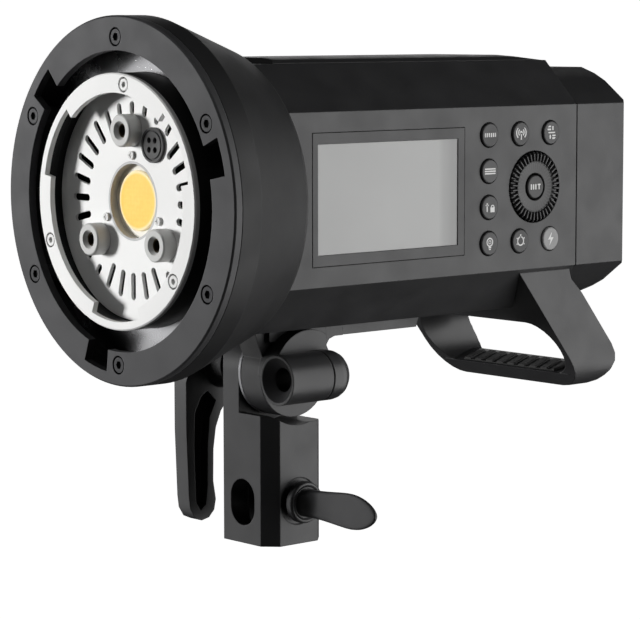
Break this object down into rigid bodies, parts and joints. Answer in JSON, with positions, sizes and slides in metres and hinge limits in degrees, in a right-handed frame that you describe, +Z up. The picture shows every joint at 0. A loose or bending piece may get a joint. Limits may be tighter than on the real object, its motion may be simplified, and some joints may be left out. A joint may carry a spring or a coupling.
{
  "type": "monolight strobe",
  "caption": "Battery studio flash head with bayonet ring, bare lamp base with socket posts and LED, display and keys, carrying handle, and a tilting stand bracket.",
  "frame": {"origin": "centre of the stand socket's mouth, on the bracket's underside", "axes": "+Z up out of the socket, -Y the way the light points, +X the side with the display"},
  "size_m": [0.1296, 0.2165, 0.1905],
  "materials": {
    "bracket_black": "satin black paint on cast aluminium",
    "lever_black": "satin glass-filled plastic",
    "shoe_brass": "machined",
    "bolt_steel": "machined",
    "disc_grey": "bead-blasted with a bright bevel",
    "screw_black": "black oxide",
    "screw_bright": "bright",
    "chassis_alu": "plain",
    "casing_black": "fine moulded texture",
    "cover_black": "fine moulded texture",
    "grip_rubber": "ribbed",
    "bell_black": "satin",
    "ring_grey": "dark grey, bead-blasted",
    "pan_silver": "satin",
    "sleeve_black": "matt black",
    "flange_white": "matt white",
    "wall_grey": "satin",
    "base_white": "matt white",
    "post_white": "matt white",
    "contact_brass": "plated",
    "connector_black": "matt",
    "collar_grey": "satin",
    "led_white": "matt",
    "led_yellow": "silicone over the diode array",
    "sink_alu": "milled",
    "fan_black": "moulded",
    "cap_blue": "printed sleeve",
    "board_green": "solder mask",
    "bezel_black": "semi-gloss",
    "window_grey": "clear over a grey panel",
    "copper_coil": "enamelled wire",
    "core_brown": "taped core",
    "port_black": "moulded",
    "cover_rubber": "matt",
    "dial_black": "ribbed",
    "key_black": "matt with a white mark",
    "key_clear": "frosted",
    "battery_black": "fine moulded texture",
    "cells_blue": "shrink sleeve"
  },
  "bodies": {
    "bracket": {"receiver_block": "bracket_black"},
    "head": {"tilt_bolt": "bolt_steel", "clutch_disc": "disc_grey", "tilt_lug": "bracket_black", "lug_screws": "screw_black", "chassis_plate": "chassis_alu", "body_shell": "casing_black", "top_cover": "cover_black", "handle": "casing_black", "grip_pad": "grip_rubber", "front_bell": "bell_black", "mount_ring": "ring_grey", "ring_screws": "screw_black", "gap_pan": "pan_silver", "cup_sleeve": "sleeve_black", "cup_flange": "flange_white", "flange_screws": "screw_bright", "cup_wall": "wall_grey", "lamp_base": "base_white", "base_screws": "screw_bright", "tube_posts": "post_white", "post_contacts": "contact_brass", "trigger_connector": "connector_black", "led_collar": "collar_grey", "led_board": "led_white", "led_phosphor": "led_yellow", "heat_sink": "sink_alu", "fan_frame": "fan_black", "capacitors": "cap_blue", "main_board": "board_green", "display_board": "board_green", "display_bezel": "bezel_black", "display_window": "window_grey", "trigger_coil": "copper_coil", "transformer": "core_brown", "bulkhead": "casing_black", "port_block": "port_black"},
    "shoe": {"clamp_shoe": "shoe_brass"},
    "screw": {"clamp_screw": "lever_black"},
    "lever": {"lock_lever": "lever_black"},
    "collar": {"umbrella_collar": "lever_black"},
    "slider": {"release_slider": "lever_black"},
    "fan": {"fan_rotor": "fan_black"},
    "flap": {"port_cover": "cover_rubber"},
    "dial": {"dial": "dial_black"},
    "battery_latch": {"battery_button": "key_black"},
    "charge_check": {"check_button": "key_black"},
    "battery": {"battery_case": "battery_black", "battery_cells": "cells_blue", "battery_contacts": "contact_brass"},
    "key_set": {"key_set": "key_black"},
    "key_mode": {"key_mode": "key_black"},
    "key_radio": {"key_radio": "key_black"},
    "key_group": {"key_group": "key_black"},
    "key_menu": {"key_menu": "key_black"},
    "key_lock": {"key_lock": "key_black"},
    "key_lamp": {"key_lamp": "key_black"},
    "key_power": {"key_power": "key_black"},
    "key_test": {"key_test": "key_clear"}
  },
  "joints": [
    {"name": "head_tilt", "type": "hinge", "parent": "bracket", "child": "head", "pos_m": [0, 0, 0.0623], "axis": [1, 0, 0], "range_deg": [-75, 75]},
    {"name": "lever_turn", "type": "hinge", "parent": "bracket", "child": "lever", "pos_m": [-0.03, 0, 0.0623], "axis": [1, 0, 0], "range_deg": [-35, 90]},
    {"name": "clamp_advance", "type": "slide", "parent": "bracket", "child": "shoe", "axis": [1, 0, 0], "range_m": [-0.001, 0.0025]},
    {"name": "clamp_turn", "type": "hinge", "parent": "shoe", "child": "screw", "pos_m": [0.03, 0, 0.0157], "axis": [1, 0, 0], "range_deg": [-240, 600]},
    {"name": "collar_turn", "type": "hinge", "parent": "head", "child": "collar", "pos_m": [0.025, 0.0055, 0.0623], "axis": [0, 1, 0], "range_deg": [-90, 90]},
    {"name": "release_slide", "type": "slide", "parent": "head", "child": "slider", "axis": [0, 1, 0], "range_m": [0, 0.005], "stiffness_N_per_m": 200, "springref_m": -0.004},
    {"name": "fan_spin", "type": "hinge", "parent": "head", "child": "fan", "pos_m": [0, -0.0265, 0.1265], "axis": [0, 1, 0], "continuous": true},
    {"name": "flap_swing", "type": "hinge", "parent": "head", "child": "flap", "pos_m": [-0.0404, 0.0523, 0.1265], "axis": [0, 0, 1], "range_deg": [0, 110]},
    {"name": "dial_turn", "type": "hinge", "parent": "head", "child": "dial", "pos_m": [0.04, 0.0947, 0.1267], "axis": [1, 0, 0], "continuous": true},
    {"name": "battery_slide", "type": "slide", "parent": "head", "child": "battery", "axis": [0, 1, 0], "range_m": [0, 0.06]},
    {"name": "battery_latch_press", "type": "slide", "parent": "battery", "child": "battery_latch", "axis": [1, 0, 0], "range_m": [0, 0.0015], "stiffness_N_per_m": 500, "springref_m": -0.002},
    {"name": "charge_check_press", "type": "slide", "parent": "battery", "child": "charge_check", "axis": [0, -1, 0], "range_m": [0, 0.0006], "stiffness_N_per_m": 400, "springref_m": -0.001},
    {"name": "key_set_press", "type": "slide", "parent": "head", "child": "key_set", "axis": [-1, 0, 0], "range_m": [0, 0.0007], "stiffness_N_per_m": 400, "springref_m": -0.001},
    {"name": "key_mode_press", "type": "slide", "parent": "head", "child": "key_mode", "axis": [-1, 0, 0], "range_m": [0, 0.0007], "stiffness_N_per_m": 400, "springref_m": -0.001},
    {"name": "key_radio_press", "type": "slide", "parent": "head", "child": "key_radio", "axis": [-1, 0, 0], "range_m": [0, 0.0007], "stiffness_N_per_m": 400, "springref_m": -0.001},
    {"name": "key_group_press", "type": "slide", "parent": "head", "child": "key_group", "axis": [-1, 0, 0], "range_m": [0, 0.0007], "stiffness_N_per_m": 400, "springref_m": -0.001},
    {"name": "key_menu_press", "type": "slide", "parent": "head", "child": "key_menu", "axis": [-1, 0, 0], "range_m": [0, 0.0007], "stiffness_N_per_m": 400, "springref_m": -0.001},
    {"name": "key_lock_press", "type": "slide", "parent": "head", "child": "key_lock", "axis": [-1, 0, 0], "range_m": [0, 0.0007], "stiffness_N_per_m": 400, "springref_m": -0.001},
    {"name": "key_lamp_press", "type": "slide", "parent": "head", "child": "key_lamp", "axis": [-1, 0, 0], "range_m": [0, 0.0007], "stiffness_N_per_m": 400, "springref_m": -0.001},
    {"name": "key_power_press", "type": "slide", "parent": "head", "child": "key_power", "axis": [-1, 0, 0], "range_m": [0, 0.0007], "stiffness_N_per_m": 400, "springref_m": -0.001},
    {"name": "key_test_press", "type": "slide", "parent": "head", "child": "key_test", "axis": [-1, 0, 0], "range_m": [0, 0.0007], "stiffness_N_per_m": 400, "springref_m": -0.001}
  ],
  "couplings": [
    {"joint": "clamp_turn", "follows": "clamp_advance", "rad_per_m": 4188.8}
  ]
}
